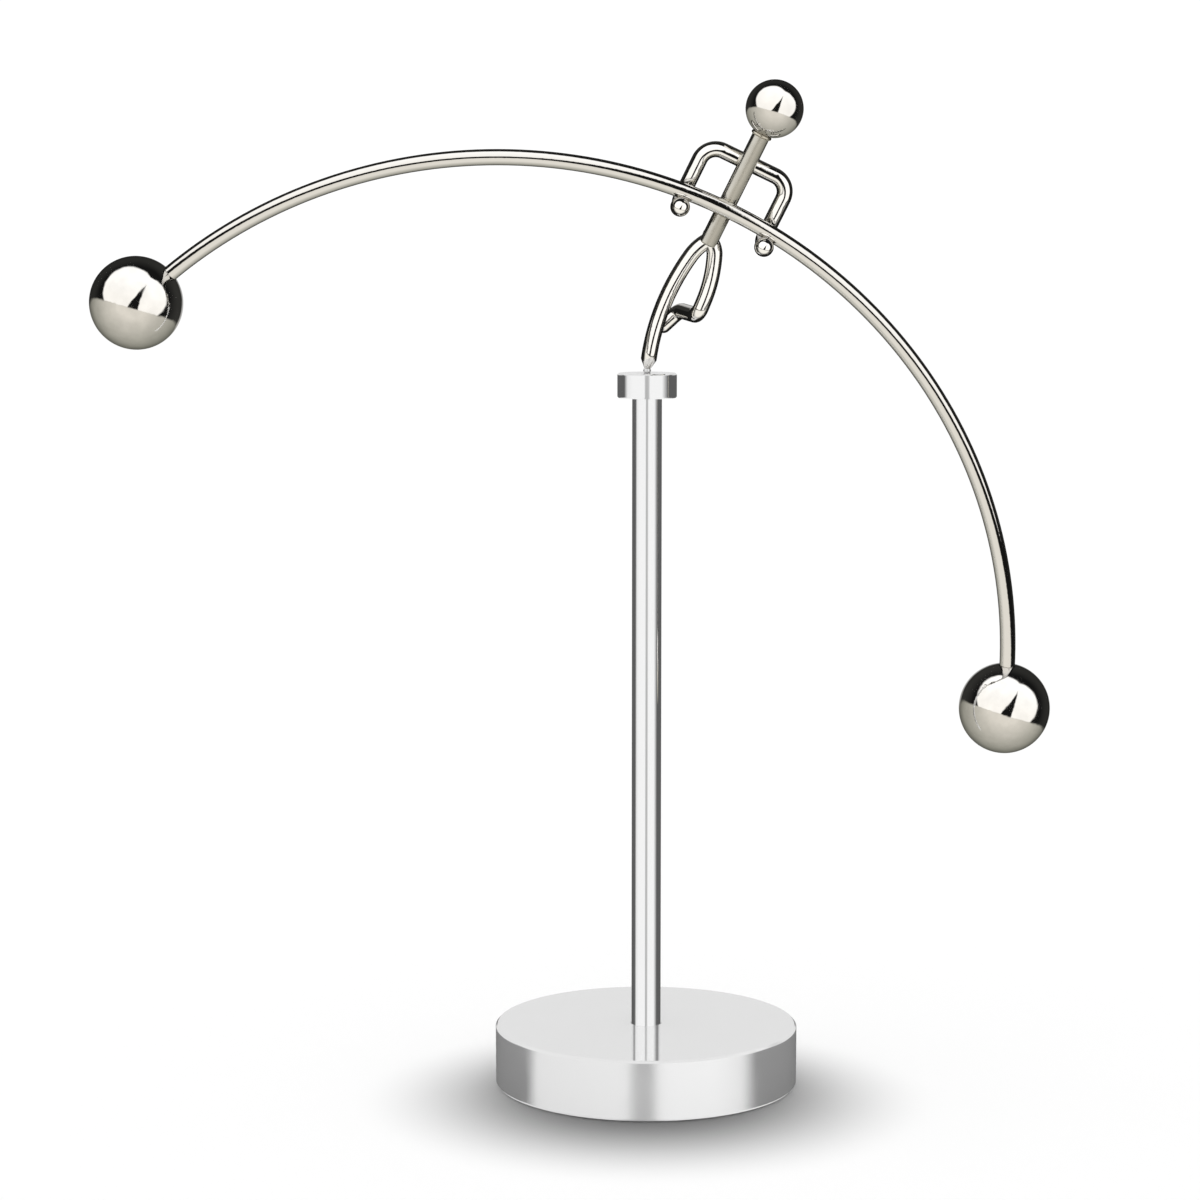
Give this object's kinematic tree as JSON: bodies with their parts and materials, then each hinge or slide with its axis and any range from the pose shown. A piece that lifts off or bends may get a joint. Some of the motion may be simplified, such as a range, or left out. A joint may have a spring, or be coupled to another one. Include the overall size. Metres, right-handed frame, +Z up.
{
  "type": "balancing figure desk toy",
  "caption": "Wire figure of a lifter that balances on one toe on a post, holding a long curved bar with a steel ball at each end; it sways, nods and turns on its toe.",
  "frame": {"origin": "middle of the underside of the base, where the stand meets the table", "axes": "+Z up along the post, +X to the right as the figure is faced, +Y away from the front"},
  "size_m": [0.1943, 0.062, 0.2044],
  "materials": {
    "base_steel": "turned and satin polished",
    "post_steel": "bright polished",
    "collar_steel": "bright turned",
    "wire_chrome": "mirror plated",
    "ball_chrome": "mirror plated",
    "torso_steel": "drawn and lightly polished",
    "braze": "plated bead",
    "bearing_steel": "ground",
    "fastener_steel": "zinc plated",
    "pad_foam": "closed cell foam"
  },
  "bodies": {
    "stand": {"base_disc": "base_steel", "base_pad": "pad_foam", "base_screw": "fastener_steel", "base_washer": "fastener_steel", "post": "post_steel", "collar": "collar_steel"},
    "bearing": {"bearing_cup": "bearing_steel"},
    "toe": {"toe_ball": "bearing_steel"},
    "figure": {"standing_leg": "wire_chrome", "raised_leg": "wire_chrome", "torso": "torso_steel", "head": "ball_chrome", "arms": "wire_chrome", "left_hand": "wire_chrome", "right_hand": "wire_chrome", "balance_bar": "wire_chrome", "left_ball": "ball_chrome", "right_ball": "ball_chrome", "chest_bead": "braze", "shoulder_bead": "braze", "hip_bead": "braze", "neck_bead": "braze"}
  },
  "joints": [
    {"name": "turn", "type": "hinge", "parent": "stand", "child": "bearing", "pos_m": [0, 0, 0.1468], "axis": [0, 0, 1], "continuous": true},
    {"name": "nod", "type": "hinge", "parent": "bearing", "child": "toe", "pos_m": [0, 0, 0.1468], "axis": [1, 0, 0], "range_deg": [-35, 15]},
    {"name": "sway", "type": "hinge", "parent": "toe", "child": "figure", "pos_m": [0, 0, 0.1468], "axis": [0, 0.9848, 0.1736], "range_deg": [-66, 14]}
  ]
}
